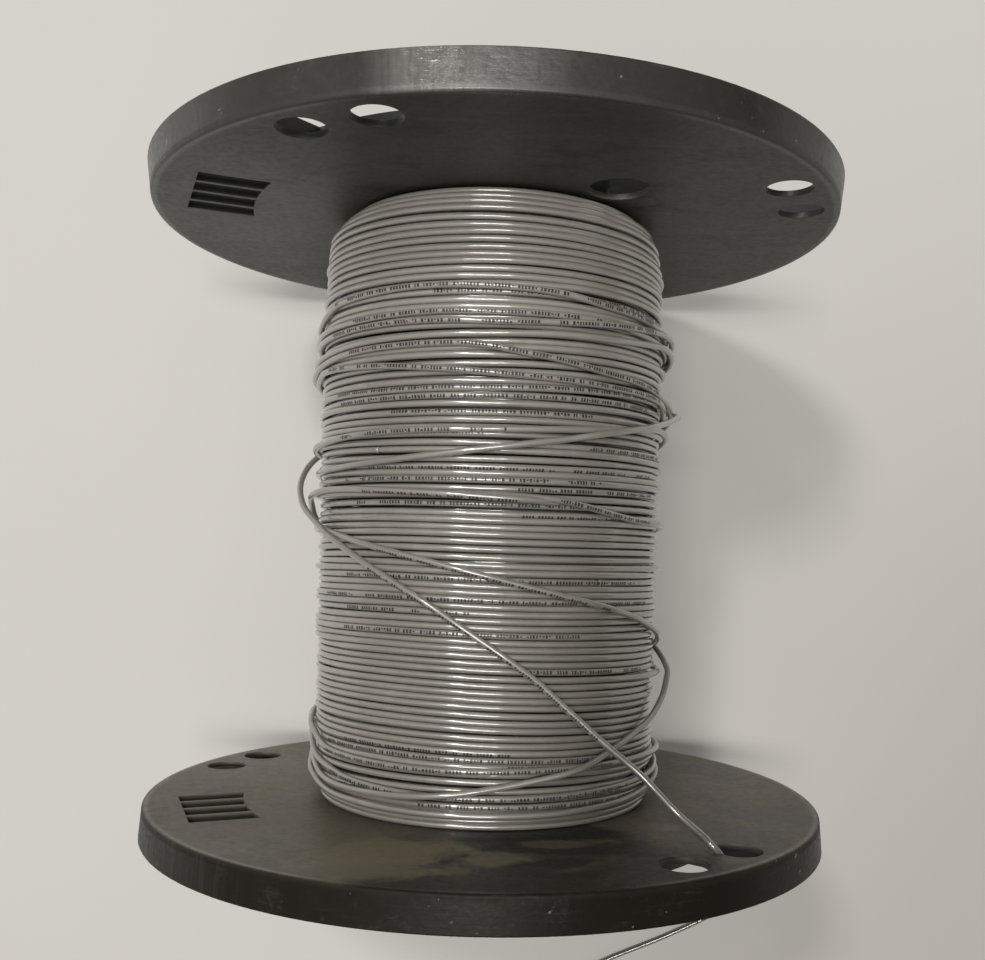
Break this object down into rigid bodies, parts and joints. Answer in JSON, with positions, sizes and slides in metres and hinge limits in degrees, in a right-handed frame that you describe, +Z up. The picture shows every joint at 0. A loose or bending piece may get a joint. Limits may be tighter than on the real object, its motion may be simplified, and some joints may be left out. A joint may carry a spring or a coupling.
{
  "type": "cable reel with wire",
  "caption": "Black ribbed plastic cable reel lying on its two round flanges, part-wound with thin grey building wire whose loose end leaves through a hole near the rim.",
  "frame": {"origin": "on the reel's axis, midway between the flanges", "axes": "+Y along the axis towards the far flange, +Z up with the reel lying on its rims, +X across"},
  "size_m": [0.3134, 0.4528, 0.3072],
  "materials": {
    "reel_plastic": "moulded, scuffed and dusty",
    "drum_plastic": "extruded",
    "bush_nylon": "natural nylon",
    "zinc_steel": "zinc plated",
    "wire_jacket": "clear nylon over grey insulation",
    "wire_insulation": "extruded",
    "copper": "bare stranded conductor"
  },
  "bodies": {
    "reel": {"flange_far": "reel_plastic", "flange_near": "reel_plastic", "drum_tube": "drum_plastic", "arbor_bush_far": "bush_nylon", "arbor_bush_near": "bush_nylon", "tie_rods": "zinc_steel", "rod_washers_far": "zinc_steel", "rod_washers_near": "zinc_steel", "rod_nuts_far": "zinc_steel", "rod_nuts_near": "zinc_steel", "wire_inner_end": "wire_jacket", "wire_inner_layers": "wire_jacket", "wire_outer_layer": "wire_jacket", "wire_crossing_turn": "wire_jacket", "wire_slack_loop": "wire_jacket", "wire_slack_turn": "wire_jacket", "wire_lower_turn": "wire_jacket", "wire_lead_out": "wire_jacket"},
    "tail": {"wire_tail_hanging": "wire_jacket"},
    "tail_tip": {"wire_tail_end": "wire_jacket", "wire_insulation_end": "wire_insulation", "wire_conductor_end": "copper"}
  },
  "joints": [
    {"name": "tail_lift", "type": "hinge", "parent": "reel", "child": "tail", "pos_m": [0.0985, -0.1474, 0.0919], "axis": [-1, 0, 0], "range_deg": [0, 75], "stiffness_Nm_per_rad": 0.004},
    {"name": "tail_sweep", "type": "hinge", "parent": "tail", "child": "tail_tip", "pos_m": [0.147, -0.237, -0.1522], "axis": [0, 0, 1], "range_deg": [-35, 35], "stiffness_Nm_per_rad": 0.002}
  ]
}
